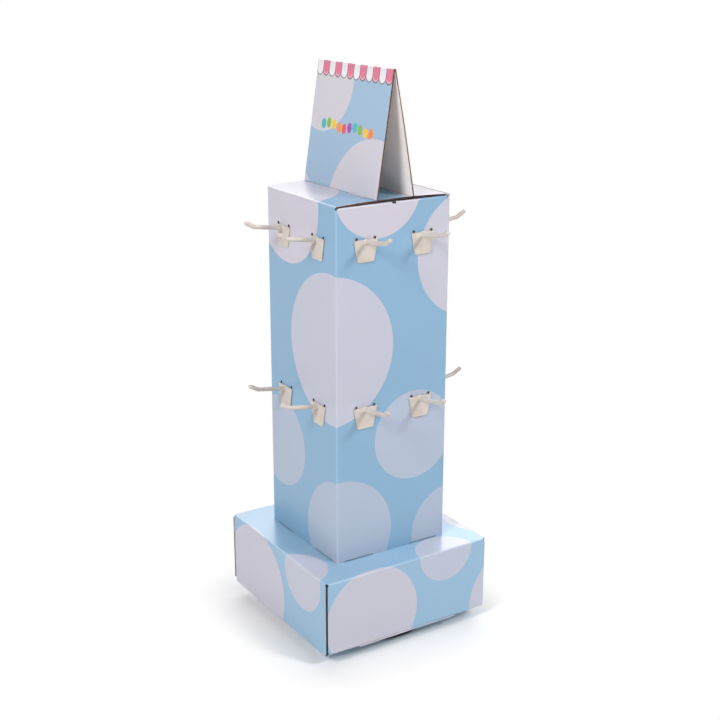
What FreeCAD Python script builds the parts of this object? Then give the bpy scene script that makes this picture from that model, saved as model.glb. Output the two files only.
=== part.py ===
import FreeCAD, Part
import math
import os
from FreeCAD import Vector

os.makedirs("parts", exist_ok=True)

# A counter display stand of folded board: a square box on a turntable, a square column
# with a hinged lid, a tent-shaped header card, and sixteen push-in hooks.
# Millimetres. The origin is the middle of the turntable's underside, +Z is up,
# and the header's printed panel faces -Y.

# Board and fits
board = 2.0                # thickness of the fluted board
fold_radius = 2.3          # outside of a scored fold
slide_gap = 0.3            # between pieces that pass each other
slot_play = 0.4            # round a tab or prong in its slot
overrun = 1.0              # how far a cut runs past the face it opens

# Turntable
stand_off = 17.0           # floor to the underside of the box
foot_radius = 115.0
foot_floor = 2.5
foot_rim = 2.5
foot_rim_height = 9.0
hub_radius = 32.0
glide_radius = 30.0
glide_thickness = 2.0
plate_radius = 98.0
plate_thickness = 3.0
pin_radius = 5.0
pin_head_radius = 8.0
pin_head = 1.6
pin_play = 0.08            # radial, in the foot's hub
rivet_circle = 86.0
rivet_radius = 2.5
rivet_head_radius = 5.0
rivet_head = 1.5
rivet_play = 0.1           # radial
rivet_stub = 1.0           # below the plate

# Box
box_side = 270.0
box_height = 110.0
corner_setback = 2.4       # raw edge of a double wall, back from the box's side
corner_hole_radius = 2.4   # relief where three folds meet
dust_reach = 70.0          # flaps of the single walls, held in the double walls
dust_slack = 1.2           # between a double wall's outer layer and the flap in it
dust_slack_reach = 12.0    # how far in from the corner that layer stands free
closing_flap = 30.0        # the floor's flaps, tucked up inside the walls
closing_flap_inset = 54.0  # from the box's corner to a flap's end
floor_inset = 5.0          # floor panel's raw edges, back from the double walls

# Column
column_side = 180.0
column_height = 500.0
glue_lap = 22.0
glue_lap_inset = 10.0      # short of the column's ends
foot_tab_width = 62.0
foot_tab_length = 22.0
foot_tab_taper = 6.0
shoulder_gap = 0.9         # lifted stretch of a wall beside its foot tab
shoulder_corner = 12.0     # stretch at each corner that stands on the box
dust_flap_reach = 55.0
dust_flap_taper = 14.0
dust_flap_droop = 3.0
crease_notch = 6.0         # pinched hole in the middle of each dust flap's fold

# Lid
lid_bow = 2.6
lid_inset = 0.4            # raw side edges, back from the column's faces
tuck_length = 25.0
tuck_lean = 3.2            # how far its free edge leans in
tuck_corner = 12.0
tuck_side_gap = 1.0        # between its side edges and the column's walls
back_edge_drop = 0.5       # raw top edge of the back wall, under the lid's top

# Header
header_width = 184.0
header_height = 167.5      # lid's corner level to the ridge
header_depth = 58.7        # over the feet
header_ridge_shift = -2.5  # the tent leans a little to the front
header_back_bow = 1.2
header_tab_width = 40.0
header_tab_spread = 88.0   # between the middles of a panel's two tabs
header_tab_length = 12.0
header_tab_room = 1.5      # from a tab's side to the edge of a dust flap's notch
header_lift = 0.3          # between its lower edges and the lid

# Hooks
hook_pitch = 90.0          # between the two hooks of a row
hook_row_drop = 47.0       # column's top to the upper plates' top
hook_row_pitch = 230.5
plate_top_width = 37.0
plate_foot_width = 25.0
plate_height = 30.0
plate_thick = 2.0
plate_corner = 2.5
arm_radius = 3.0
arm_drop = 3.8             # plate's top to the arm's axis, at the wall
arm_length = 46.0          # wall to the bend
arm_rise = 6.5             # over that length
tip_length = 15.5          # bend to the arm's end, along it
tip_turn = 21.0            # degrees, up from the line of the arm
prong_spacing = 28.6
prong_width = 4.0
prong_height = 3.2
prong_leg = 12.0
prong_leg_thick = 1.8
slot_height = 7.8

# Levels and faces worked out from those sizes
box_half = box_side / 2
box_top = stand_off + box_height
column_half = column_side / 2
column_inner = column_half - board
column_top = box_top + column_height
hinge_level = column_top - board
hinge_y = -column_inner
dust_flap_top = hinge_level - slide_gap
hook_row_tops = (column_top - hook_row_drop, column_top - hook_row_drop - hook_row_pitch)
slot_foot_drop = arm_drop + prong_height / 2
plate_under = stand_off - plate_thickness
glide_low = plate_under - slide_gap - glide_thickness
hinge_play = slide_gap


def block(x, y, z):
    """A block between two values on each axis."""
    size = [span[1] - span[0] for span in (x, y, z)]
    return Part.makeBox(size[0], size[1], size[2], Vector(x[0], y[0], z[0]))


def join(first, *others):
    """One solid out of pieces that meet face to face."""
    return first.multiFuse(list(others)).removeSplitter()


def filled(points):
    """A face inside a closed outline of points."""
    return Part.Face(Part.makePolygon(points + points[:1]))


def turned_ring(profile):
    """A ring or disc turned about Z from (radius, height) points."""
    face = filled([Vector(radius, 0, height) for radius, height in profile])
    return face.revolve(Vector(0, 0, 0), Vector(0, 0, 1), 360)


def rod(radius, low, high, x=0.0, y=0.0):
    """An upright round bar."""
    return Part.makeCylinder(radius, high - low, Vector(x, y, low))


def quarter_turn(shape, turns):
    """The shape turned about the stand's axis by quarter turns."""
    turned = shape.copy()
    turned.rotate(Vector(0, 0, 0), Vector(0, 0, 1), 90.0 * turns)
    return turned


def arc(start, through, end):
    return Part.Arc(start, through, end).toShape()


def line(start, end):
    return Part.LineSegment(start, end).toShape()


def save(shape, name):
    shape.exportStep(f"parts/{name}.step")


# Turntable

def turntable_foot():
    """A moulded dish with a rim, and a hub that carries the glide ring."""
    bore = pin_radius + pin_play
    recess_radius = pin_head_radius + slide_gap
    recess_top = 2 * slide_gap + pin_head
    return turned_ring([
        (bore, recess_top),
        (recess_radius, recess_top),
        (recess_radius, 0),
        (foot_radius, 0),
        (foot_radius, foot_rim_height),
        (foot_radius - foot_rim, foot_rim_height),
        (foot_radius - foot_rim, foot_floor),
        (hub_radius, foot_floor),
        (hub_radius, glide_low),
        (bore, glide_low),
    ])


def glide_ring():
    """A flat plastic ring on the hub, which the plate turns on."""
    bore = pin_radius + slide_gap
    glide_top = glide_low + glide_thickness
    return turned_ring([
        (bore, glide_low),
        (glide_radius, glide_low),
        (glide_radius, glide_top),
        (bore, glide_top),
    ])


def rivet_places():
    across = rivet_circle / math.sqrt(2)
    return [(x, y) for x in (-across, across) for y in (-across, across)]


def turntable_plate():
    """A flat disc under the box, with holes for the pin and the rivets."""
    plate = rod(plate_radius, plate_under, stand_off)
    holes = [rod(pin_radius, plate_under - overrun, stand_off + overrun)]
    for x, y in rivet_places():
        holes.append(rod(rivet_radius + rivet_play, plate_under - overrun, stand_off + overrun, x, y))
    return plate.cut(holes)


def pivot_pin():
    """A headed pin: fast in the plate, free to turn in the foot's hub."""
    head_top = slide_gap + pin_head
    return rod(pin_head_radius, slide_gap, head_top).fuse(rod(pin_radius, head_top, stand_off)).removeSplitter()


def plate_rivets():
    """Four push rivets that hold the box's floor to the plate."""
    head_low = stand_off + board
    rivets = []
    for x, y in rivet_places():
        head = rod(rivet_head_radius, head_low, head_low + rivet_head, x, y)
        stem = rod(rivet_radius, plate_under - rivet_stub, head_low, x, y)
        rivets.append(head.fuse(stem).removeSplitter())
    return Part.makeCompound(rivets)


# Box

def foot_tab_slot():
    """The slot in the box's top for the front wall's tab."""
    half = foot_tab_width / 2 + slot_play
    middle = -(column_half - board / 2)
    reach = board / 2 + slot_play / 2
    return block((-half, half), (middle - reach, middle + reach), (box_top - 2 * board, box_top + board))


def base_box():
    """A roll-end box turned upside down, folded from one sheet.

    The side walls are double, rolled over the dust flaps of the front and back walls.
    The floor hangs on the front wall and tucks up inside the other three.
    It is drawn with the double walls at the front and back, then turned."""
    wall_low = stand_off + board
    top = block((-box_half, box_half), (-box_half, box_half), (wall_low, box_top))
    rounded = [edge for edge in top.Edges if all(vertex.Z > box_top - board for vertex in edge.Vertexes)]
    for edge in top.Edges:
        rolled = all(vertex.Z < wall_low + board for vertex in edge.Vertexes)
        if rolled and abs(edge.CenterOfMass.y) > box_half - board:
            rounded.append(edge)
    shell = top.makeFillet(fold_radius, rounded)

    # Hollow inside the single walls and the three layers of a double wall.
    inner_x = box_half - board
    inner_y = box_half - 3 * board
    hollow = block((-inner_x, inner_x), (-inner_y, inner_y), (wall_low, box_top - board))

    # Each corner: the single wall folds into its flap, the double wall's raw edge stops short.
    raw_edge = box_half - corner_setback
    fold_line = box_half - board - dust_slack
    corners = []
    for side_x in (-1, 1):
        for side_y in (-1, 1):
            step = block((raw_edge, box_half), (fold_line, box_half), (stand_off, box_top - fold_radius))
            rounding_centre = Vector(box_half - fold_radius, fold_line - fold_radius, stand_off)
            rounding = block(
                (box_half - fold_radius, box_half),
                (fold_line - fold_radius, fold_line),
                (stand_off, box_top - fold_radius),
            ).cut(Part.makeCylinder(fold_radius, box_height, rounding_centre))
            for level in (box_top - fold_radius, wall_low + corner_hole_radius):
                hole = Part.makeCylinder(
                    corner_hole_radius, box_half - fold_line, Vector(raw_edge, fold_line, level), Vector(0, 1, 0))
                corners.append((hole, side_x, side_y))
            slack = block(
                (raw_edge - dust_slack_reach, raw_edge),
                (fold_line, box_half - board),
                (stand_off, box_top - fold_radius),
            )
            corners.append((step, side_x, side_y))
            corners.append((slack, side_x, side_y))
            corners.append((rounding, side_x, side_y))
    cuts = [hollow]
    for shape, side_x, side_y in corners:
        placed = shape
        if side_x < 0:
            placed = placed.mirror(Vector(0, 0, 0), Vector(1, 0, 0))
        if side_y < 0:
            placed = placed.mirror(Vector(0, 0, 0), Vector(0, 1, 0))
        cuts.append(placed)
    slots = [quarter_turn(foot_tab_slot(), turn) for turn in range(4)]
    walls = shell.cut(cuts + slots)

    # The dust flaps stop short of the middle of a double wall, whose inner layer
    # ends just under the box's top.
    pocket = (-(box_half - board - dust_reach), box_half - board - dust_reach)
    under_top = box_top - board
    for side_y in (-1, 1):
        outer_face = side_y * (box_half - board)
        flap_face = side_y * (box_half - 2 * board)
        middle_layer = sorted((outer_face, flap_face))
        inner_layer = sorted((flap_face, side_y * inner_y))
        walls = walls.cut([
            block(pocket, middle_layer, (wall_low + board, under_top)),
            block(pocket, inner_layer, (under_top - slide_gap, under_top)),
        ])

    # Floor panel: folded up into one single wall, with flaps tucked inside the other walls.
    floor_half_y = box_half - floor_inset
    floor_right = inner_x - slide_gap
    floor = block((-box_half, floor_right), (-floor_half_y, floor_half_y), (stand_off, wall_low))
    flap_half = box_half - closing_flap_inset
    lip = block((inner_y - board, box_half), (-flap_half, flap_half), (stand_off, wall_low - slide_gap))
    lip_edge = [e for e in lip.Edges
                if all(v.X > box_half - 1e-6 and v.Z < stand_off + 1e-6 for v in e.Vertexes)]
    lip = lip.makeFillet(board * 0.6, lip_edge)
    flaps = []
    for turn, wall_inside in ((0, inner_x), (1, inner_y), (3, inner_y)):
        flap = block((wall_inside - board, wall_inside), (-flap_half, flap_half), (stand_off, wall_low + closing_flap))
        flaps.append(quarter_turn(lip, turn))
        flaps.append(quarter_turn(flap, turn))
    body = join(walls, floor, *flaps)

    hanging_fold = [e for e in body.Edges
                    if all(v.X < -box_half + 1e-6 and v.Z < stand_off + 1e-6 for v in e.Vertexes)]
    body = body.makeFillet(fold_radius * 0.8, hanging_fold)

    holes = [rod(rivet_radius + rivet_play, stand_off - overrun, wall_low + overrun, x, y) for x, y in rivet_places()]
    return quarter_turn(body.cut(holes).removeSplitter(), 1)


# Column

def hook_columns():
    return (-hook_pitch / 2, hook_pitch / 2)


def prong_offsets():
    return (-prong_spacing / 2, prong_spacing / 2)


def hook_slots():
    """All the prong slots of the front wall."""
    slots = []
    half = prong_width / 2 + slot_play / 2
    for top in hook_row_tops:
        low = top - slot_foot_drop
        for across in hook_columns():
            for offset in prong_offsets():
                middle = across + offset
                slots.append(block(
                    (middle - half, middle + half),
                    (-column_half - board, -column_half + 2 * board),
                    (low, low + slot_height),
                ))
    return slots


def foot_tab():
    """The front wall's tab, with tapered ends, down through the box's top."""
    half = foot_tab_width / 2
    tip = half - foot_tab_taper
    back = -column_half
    low = box_top - foot_tab_length
    outline = filled([
        Vector(-half, back, box_top),
        Vector(-half, back, box_top - board),
        Vector(-tip, back, low),
        Vector(tip, back, low),
        Vector(half, back, box_top - board),
        Vector(half, back, box_top),
    ])
    return outline.extrude(Vector(0, board, 0))


def shoulder_reliefs():
    """The lifted stretches of the front wall's lower edge."""
    near = foot_tab_width / 2
    far = column_half - shoulder_corner
    outside = (-column_half - overrun, -column_inner + overrun)
    lift = (box_top - overrun, box_top + shoulder_gap)
    return [block((near, far), outside, lift), block((-far, -near), outside, lift)]


def dust_flap():
    """The right wall's flap, folded in under the lid."""
    outer = column_half
    inner = outer - dust_flap_reach - board
    fold_level = dust_flap_top - fold_radius
    crown = fold_radius * (1 - math.sqrt(0.5))
    low_top = dust_flap_top - dust_flap_droop
    under = dust_flap_top - board
    edges = [
        line(Vector(outer - board, 0, fold_level), Vector(outer, 0, fold_level)),
        arc(
            Vector(outer, 0, fold_level),
            Vector(outer - crown, 0, dust_flap_top - crown),
            Vector(outer - fold_radius, 0, dust_flap_top),
        ),
        line(Vector(outer - fold_radius, 0, dust_flap_top), Vector(inner, 0, low_top)),
        line(Vector(inner, 0, low_top), Vector(inner, 0, low_top - board)),
        line(Vector(inner, 0, low_top - board), Vector(outer - board, 0, under)),
        line(Vector(outer - board, 0, under), Vector(outer - board, 0, fold_level)),
    ]
    profile = Part.Face(Part.Wire(edges))
    strip = profile.extrude(Vector(0, column_side, 0)).translated(Vector(0, -column_half, 0))

    # Outline from above: short of the front wall and of the lid's tuck flap, with tapered ends.
    front = -(column_inner - slide_gap)
    back = column_inner - 2 * slide_gap - tuck_lean
    outline = filled([
        Vector(inner, front + dust_flap_taper, 0),
        Vector(outer - fold_radius, front, 0),
        Vector(outer, front, 0),
        Vector(outer, back, 0),
        Vector(outer - fold_radius, back, 0),
        Vector(inner, back - dust_flap_taper, 0),
    ]).extrude(Vector(0, 0, column_top))
    flap = strip.common(outline)

    # Room for the header's tabs, which hang through the lid.
    tab_outer = header_tab_spread / 2 + header_tab_width / 2 + slot_play
    notch_depth = tab_outer + header_tab_room
    notch_half = header_tab_length / 2
    cuts = []
    for foot in (header_front_foot, header_back_foot):
        cuts.append(block(
            (inner - overrun, notch_depth),
            (foot - notch_half, foot + notch_half),
            (fold_level - header_tab_length, column_top),
        ))
    cuts.append(block(
        (outer - board - slide_gap, outer + overrun),
        (-crease_notch / 2, crease_notch / 2),
        (fold_level - board / 2, column_top),
    ))
    return flap.cut(cuts)


def column():
    """Four walls from one sheet, glued at the back left corner."""
    solid = block((-column_half, column_half), (-column_half, column_half), (box_top, column_top))
    upright = [e for e in solid.Edges if abs(e.Vertexes[0].Z - e.Vertexes[1].Z) > board]
    tube = solid.makeFillet(fold_radius, upright)
    inside = (-column_inner, column_inner)
    tube = tube.cut(block(inside, inside, (box_top - overrun, column_top + overrun)))

    # Side walls stop at the dust flaps' folds, the back wall just under the lid's top.
    fold_level = dust_flap_top - fold_radius
    everywhere = (-column_half - overrun, column_half + overrun)
    tube = tube.cut(block(everywhere, (-column_half - overrun, column_inner), (fold_level, column_top + overrun)))
    tube = tube.cut(block(everywhere, everywhere, (column_top - back_edge_drop, column_top + overrun)))

    # The front wall runs up to a hollow that takes the round of the lid's fold.
    front_top = block(
        (-column_half + fold_radius, column_half - fold_radius),
        (-column_half, -column_inner),
        (fold_level, hinge_level),
    )
    hollow = Part.makeCylinder(
        board + hinge_play, column_side, Vector(-column_half, hinge_y, hinge_level), Vector(1, 0, 0))
    front_top = front_top.cut(hollow)

    lap = block(
        (-column_inner, -column_inner + board),
        (column_inner - glue_lap, column_inner),
        (box_top + glue_lap_inset, hinge_level - tuck_length - glue_lap_inset),
    )
    right_flap = dust_flap()
    left_flap = right_flap.mirror(Vector(0, 0, 0), Vector(1, 0, 0))
    tabs = [quarter_turn(foot_tab(), turn) for turn in range(4)]
    body = join(tube, front_top, lap, right_flap, left_flap, *tabs)
    body = body.cut(hollow)

    cuts = []
    for turn in range(4):
        for cut in hook_slots() + shoulder_reliefs():
            cuts.append(quarter_turn(cut, turn))
    return body.cut(cuts).removeSplitter()


# Lid

lid_back = column_inner - slide_gap
lid_span = lid_back - hinge_y
bow_radius = (lid_span / 2) ** 2 / (2 * lid_bow) + lid_bow / 2
bow_middle = (lid_back + hinge_y) / 2
bow_centre_drop = bow_radius - lid_bow


def lid_top_level(y):
    """Height of the bowed lid's upper face."""
    return column_top - bow_centre_drop + math.sqrt(bow_radius ** 2 - (y - bow_middle) ** 2)


# Header's panels, as straight lines from the ridge to the feet
ridge_y = header_ridge_shift
ridge_level = column_top + header_height
crease_level = ridge_level - board
front_foot_outer = -header_depth / 2
back_foot_outer = header_depth / 2
header_front_foot = front_foot_outer + board / 2
header_back_foot = back_foot_outer - board / 2


def column_lid():
    """The lid: a round at its fold, a bowed panel and a tuck flap that leans in."""
    half_width = column_half - lid_inset
    start_top = Vector(0, hinge_y, column_top)
    middle_top = Vector(0, bow_middle, lid_top_level(bow_middle))
    end_top = Vector(0, lid_back - board, lid_top_level(lid_back - board))
    start_under = Vector(0, hinge_y, hinge_level)
    middle_under = middle_top - Vector(0, 0, board)
    end_under = end_top - Vector(0, 0, board)
    panel_face = Part.Face(Part.Wire([
        line(start_under, start_top),
        arc(start_top, middle_top, end_top),
        line(end_top, end_under),
        arc(end_under, middle_under, start_under),
    ]))
    panel = panel_face.extrude(Vector(2 * half_width, 0, 0)).translated(Vector(-half_width, 0, 0))

    fold = Part.makeCylinder(
        board, 2 * half_width, Vector(-half_width, hinge_y, hinge_level), Vector(1, 0, 0))
    fold = fold.cut(block(
        (-half_width - overrun, half_width + overrun),
        (hinge_y, hinge_y + 2 * board),
        (hinge_level - 2 * board, hinge_level + 2 * board),
    ))
    fold_half = column_half - fold_radius
    fold_foot = block(
        (-column_half, column_half),
        (hinge_y - 2 * board, hinge_y),
        (hinge_level - 2 * board, hinge_level),
    )
    keep = block(
        (-fold_half, fold_half),
        (hinge_y - 2 * board, hinge_y),
        (hinge_level - 2 * board, hinge_level),
    )
    fold = fold.cut(fold_foot.cut(keep))

    # Tuck flap: a fold round the panel's end, then a straight flap that leans in.
    flap_half = column_inner - tuck_side_gap
    tip_level = hinge_level - tuck_length
    round_centre = end_under
    crown = board * math.sqrt(0.5)
    lean = Vector(0, -tuck_lean, tip_level - end_under.z)
    outer_top = Vector(0, lid_back, end_under.z)
    flap_face = Part.Face(Part.Wire([
        line(end_under, end_top),
        arc(end_top, round_centre + Vector(0, crown, crown), outer_top),
        line(outer_top, outer_top + lean),
        line(outer_top + lean, end_under + lean),
        line(end_under + lean, end_under),
    ]))
    flap = flap_face.extrude(Vector(2 * flap_half, 0, 0)).translated(Vector(-flap_half, 0, 0))
    taper = tuck_corner / 2
    flap_outline = filled([
        Vector(-flap_half, 0, column_top + board),
        Vector(-flap_half, 0, tip_level + tuck_corner),
        Vector(-flap_half + taper, 0, tip_level - overrun),
        Vector(flap_half - taper, 0, tip_level - overrun),
        Vector(flap_half, 0, tip_level + tuck_corner),
        Vector(flap_half, 0, column_top + board),
    ]).extrude(Vector(0, column_side, 0))
    flap = flap.common(flap_outline)

    body = join(panel, fold, flap)
    slots = []
    tab_half = header_tab_width / 2 + slot_play
    for side in (-1, 1):
        middle = side * header_tab_spread / 2
        for low_y, high_y in header_slot_spans():
            slots.append(block(
                (middle - tab_half, middle + tab_half),
                (low_y, high_y),
                (hinge_level - board, column_top + 2 * lid_bow),
            ))
    return body.cut(slots).removeSplitter()


# Header

def front_panel_face(offset):
    """Front panel's plane as y for a height: offset 0 is its inner face."""
    foot_level = lid_top_level(front_foot_outer)
    slope = (ridge_y - (front_foot_outer + board)) / (crease_level - foot_level)
    sideways = offset * math.sqrt(1 + slope ** 2)
    return lambda level: ridge_y - (crease_level - level) * slope - sideways


def back_panel_face(offset):
    foot_level = lid_top_level(back_foot_outer)
    slope = ((back_foot_outer - board) - ridge_y) / (crease_level - foot_level)
    sideways = offset * math.sqrt(1 + slope ** 2)
    return lambda level: ridge_y + (crease_level - level) * slope + sideways


def header_tab_tip():
    return hinge_level - header_tab_length


def back_panel_arcs():
    """Radii and centre of the bowed back panel's two faces, through the ridge and the foot."""
    inner = back_panel_face(0)
    low = header_tab_tip()
    top = Vector(0, ridge_y, crease_level)
    foot = Vector(0, inner(low), low)
    chord = foot - top
    length = chord.Length
    radius = length ** 2 / (8 * header_back_bow) + header_back_bow / 2
    along = chord / length
    outward = Vector(0, -along.z, along.y)
    centre = top + chord / 2 - outward * (radius - header_back_bow)
    return centre, radius, top, foot, outward


def on_back_panel(level, offset):
    """y of the back panel's face at a height."""
    centre, radius, top, foot, outward = back_panel_arcs()
    reach = radius + offset
    return centre.y + math.sqrt(reach ** 2 - (level - centre.z) ** 2)


def header_slot_spans():
    """The y spans in the lid that the two panels' tabs pass through."""
    high = column_top + lid_bow
    low = hinge_level
    front_outer = front_panel_face(board)
    front_inner = front_panel_face(0)
    front = (front_outer(low) - slot_play, front_inner(high) + slot_play)
    back = (on_back_panel(high, 0) - slot_play, on_back_panel(low, board) + slot_play)
    return front, back


def header_card():
    """A tent of one folded sheet, with two tabs under each panel."""
    low = header_tab_tip()
    half = header_width / 2
    inner = front_panel_face(0)
    outer = front_panel_face(board)
    crease = Vector(0, ridge_y, crease_level)
    front_down = Vector(0, inner(low) - ridge_y, low - crease_level).normalize()
    front_out = Vector(0, front_down.z, -front_down.y)
    front_face = filled([
        crease,
        crease + front_out * board,
        Vector(0, outer(low), low),
        Vector(0, inner(low), low),
    ])

    centre, radius, top, foot, outward = back_panel_arcs()
    start_out = (top - centre).normalize()
    foot_out = (foot - centre).normalize()
    middle_out = (start_out + foot_out).normalize()
    back_face = Part.Face(Part.Wire([
        arc(top, centre + middle_out * radius, foot),
        line(foot, foot + foot_out * board),
        arc(foot + foot_out * board, centre + middle_out * (radius + board), top + start_out * board),
        line(top + start_out * board, top),
    ]))
    ridge_face = Part.Face(Part.Wire([
        line(crease, crease + front_out * board),
        arc(crease + front_out * board, crease + Vector(0, 0, board), crease + start_out * board),
        line(crease + start_out * board, crease),
    ]))
    tent = join(*[
        face.extrude(Vector(header_width, 0, 0)).translated(Vector(-half, 0, 0))
        for face in (front_face, back_face, ridge_face)
    ])

    # Below the lid only the tabs are left.
    tab_half = header_tab_width / 2
    tab_middle = header_tab_spread / 2
    clear_top = lid_top_level(front_foot_outer) + header_lift
    all_y = (front_foot_outer - header_tab_length, back_foot_outer + header_tab_length)
    spans = (
        (-half - overrun, -tab_middle - tab_half),
        (-tab_middle + tab_half, tab_middle - tab_half),
        (tab_middle + tab_half, half + overrun),
    )
    cuts = [block(span, all_y, (low - overrun, clear_top)) for span in spans]
    return tent.cut(cuts).removeSplitter()


# Hooks

def hook_arm(top):
    """A round arm that rises a little from the plate and turns up at its end."""
    rise = math.atan2(arm_rise, arm_length)
    heading = rise + math.radians(tip_turn)
    along = Vector(0, -math.cos(rise), math.sin(rise))
    wall = Vector(0, -column_half, top - arm_drop)
    start = wall + along * (plate_thick / 2)
    bend = wall + along * math.hypot(arm_length, arm_rise)
    end = bend + Vector(0, -math.cos(heading), math.sin(heading)) * tip_length
    start_circle = Part.makeCircle(arm_radius, start, along)
    path = Part.makePolygon([start, bend, end])
    return path.makePipeShell([Part.Wire(start_circle)], True, False, 1)


def hook(top):
    """One hook on the front wall, middle at x = 0: plate, arm and two prongs."""
    half_top = plate_top_width / 2
    half_foot = plate_foot_width / 2
    face = -column_half
    plate = filled([
        Vector(-half_top, face, top),
        Vector(-half_foot, face, top - plate_height),
        Vector(half_foot, face, top - plate_height),
        Vector(half_top, face, top),
    ]).extrude(Vector(0, -plate_thick, 0))
    corners = [e for e in plate.Edges if abs(e.Vertexes[0].Y - e.Vertexes[1].Y) > plate_thick / 2]
    plate = plate.makeFillet(plate_corner, [e for e in corners if e.CenterOfMass.z < top - plate_height / 2])

    pieces = [hook_arm(top)]
    low = top - slot_foot_drop
    leg_near = face + board + slide_gap
    for offset in prong_offsets():
        across = (offset - prong_width / 2, offset + prong_width / 2)
        pieces.append(block(across, (face - plate_thick / 2, leg_near), (low, low + prong_height)))
        pieces.append(block(across, (leg_near, leg_near + prong_leg_thick), (low, low + prong_leg)))
    return join(plate, *pieces)


save(turntable_foot(), "turntable_foot")
save(glide_ring(), "glide_ring")
save(turntable_plate(), "turntable_plate")
save(pivot_pin(), "pivot_pin")
save(plate_rivets(), "plate_rivets")
save(base_box(), "base_box")
save(column(), "column")
save(column_lid(), "column_lid")
save(header_card(), "header_card")

for turn, face_name in enumerate(("front", "right", "back", "left")):
    number = 0
    for row_top in hook_row_tops:
        for across in hook_columns():
            number += 1
            placed = hook(row_top).translated(Vector(across, 0, 0))
            save(quarter_turn(placed, turn), f"hook_{face_name}_{number}")
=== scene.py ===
import math

import bmesh
import bpy
from mathutils import Matrix, Vector


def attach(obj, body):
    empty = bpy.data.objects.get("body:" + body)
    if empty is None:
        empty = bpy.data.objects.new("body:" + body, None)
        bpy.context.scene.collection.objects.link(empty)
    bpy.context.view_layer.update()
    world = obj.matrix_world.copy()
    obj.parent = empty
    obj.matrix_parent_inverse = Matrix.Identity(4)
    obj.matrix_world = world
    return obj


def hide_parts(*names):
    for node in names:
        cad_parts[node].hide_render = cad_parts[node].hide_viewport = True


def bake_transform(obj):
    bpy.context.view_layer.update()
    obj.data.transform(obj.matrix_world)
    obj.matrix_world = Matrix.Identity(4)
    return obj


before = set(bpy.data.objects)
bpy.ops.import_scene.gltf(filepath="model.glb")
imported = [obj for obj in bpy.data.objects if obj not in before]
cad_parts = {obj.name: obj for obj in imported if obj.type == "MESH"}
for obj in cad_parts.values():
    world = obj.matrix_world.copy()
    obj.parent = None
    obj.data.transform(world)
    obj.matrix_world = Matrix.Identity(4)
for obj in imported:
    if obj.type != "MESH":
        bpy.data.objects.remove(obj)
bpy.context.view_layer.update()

MM = 0.001

# Sizes shared with the solids, in metres
BOARD = 2.0 * MM
BOX_HALF = 135 * MM
BOX_TOP = 127 * MM
BOX_LOW = 17 * MM
COLUMN_HALF = 90 * MM
COLUMN_TOP = 627 * MM
HEADER_HALF = 92 * MM
HEADER_MIDDLE = -2.5 * MM
RIDGE_TOP = 794.5 * MM
HOOK_PITCH = 90 * MM
HOOK_ROWS = (580 * MM, 349.5 * MM)
SIDES = ("front", "right", "back", "left")

# Points nearer than this are one point, and faces within this angle are one face
SAME_POINT = 0.00001
SAME_FACE = math.radians(0.6)


# Object helpers

def deselect():
    if bpy.context.object and bpy.context.object.mode == "EDIT":
        bpy.ops.object.mode_set(mode="OBJECT")
    bpy.ops.object.select_all(action="DESELECT")


def pick(piece):
    """Make one object the only selected one, and the active one."""
    deselect()
    piece.select_set(True)
    bpy.context.view_layer.objects.active = piece


def added(name, operator, **options):
    """A primitive added by its operator, in edit mode, all selected."""
    deselect()
    operator(**options)
    piece = bpy.context.object
    piece.name = name
    piece.data.name = name
    bpy.ops.object.transform_apply(location=True, rotation=True, scale=True)
    bpy.ops.object.mode_set(mode="EDIT")
    return piece


def choose(piece, kind, test):
    """Select the faces, edges or points that pass a test, in edit mode."""
    bpy.ops.mesh.select_mode(type={"verts": "VERT", "edges": "EDGE", "faces": "FACE"}[kind])
    bpy.ops.mesh.select_all(action="DESELECT")
    shape = bmesh.from_edit_mesh(piece.data)
    for item in getattr(shape, kind):
        if test(item):
            item.select = True
    shape.select_flush_mode()
    bmesh.update_edit_mesh(piece.data)


def middle(item):
    """The mean of a face's or an edge's corners."""
    total = Vector((0, 0, 0))
    for corner in item.verts:
        total += corner.co
    return total / len(item.verts)


def extrude(step):
    """Extrude what is selected by one step."""
    bpy.ops.mesh.extrude_region_move(TRANSFORM_OT_translate={"value": step})


def scale_about(centre, ratio):
    """Scale what is selected evenly about a point."""
    bpy.ops.transform.resize(value=(ratio, ratio, ratio), center_override=centre)


def weld():
    """Merge doubled points and turn every face outwards, in edit mode."""
    bpy.ops.mesh.select_all(action="SELECT")
    bpy.ops.mesh.remove_doubles(threshold=SAME_POINT)
    bpy.ops.mesh.normals_make_consistent(inside=False)


def finished(piece):
    bpy.ops.object.mode_set(mode="OBJECT")
    return piece


def apply_modifiers(piece):
    pick(piece)
    for modifier in list(piece.modifiers):
        bpy.ops.object.modifier_apply(modifier=modifier.name)


def united(base, others):
    """One closed shell out of overlapping ones."""
    for other in others:
        union = base.modifiers.new("union", "BOOLEAN")
        union.operation = "UNION"
        union.solver = "EXACT"
        union.object = other
        apply_modifiers(base)
        bpy.data.objects.remove(other)
    return base


def smooth(piece, degrees):
    """Smooth shading up to an angle, with flat faces kept flat."""
    pick(piece)
    bpy.ops.object.shade_smooth_by_angle(angle=math.radians(degrees))
    even = piece.modifiers.new("even shading", "WEIGHTED_NORMAL")
    even.keep_sharp = True
    apply_modifiers(piece)


def copied_node(node, name):
    """A merged copy of a solid's mesh, as a new object."""
    piece = bpy.data.objects.new(name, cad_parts[node].data.copy())
    piece.data.name = name
    bpy.context.scene.collection.objects.link(piece)
    pick(piece)
    bpy.ops.mesh.customdata_custom_splitnormals_clear()
    bpy.ops.object.mode_set(mode="EDIT")
    bpy.ops.mesh.select_all(action="SELECT")
    bpy.ops.mesh.remove_doubles(threshold=SAME_POINT)
    bpy.ops.mesh.dissolve_limited(angle_limit=SAME_FACE)
    bpy.ops.object.mode_set(mode="OBJECT")
    piece.data.materials.clear()
    return piece


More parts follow.
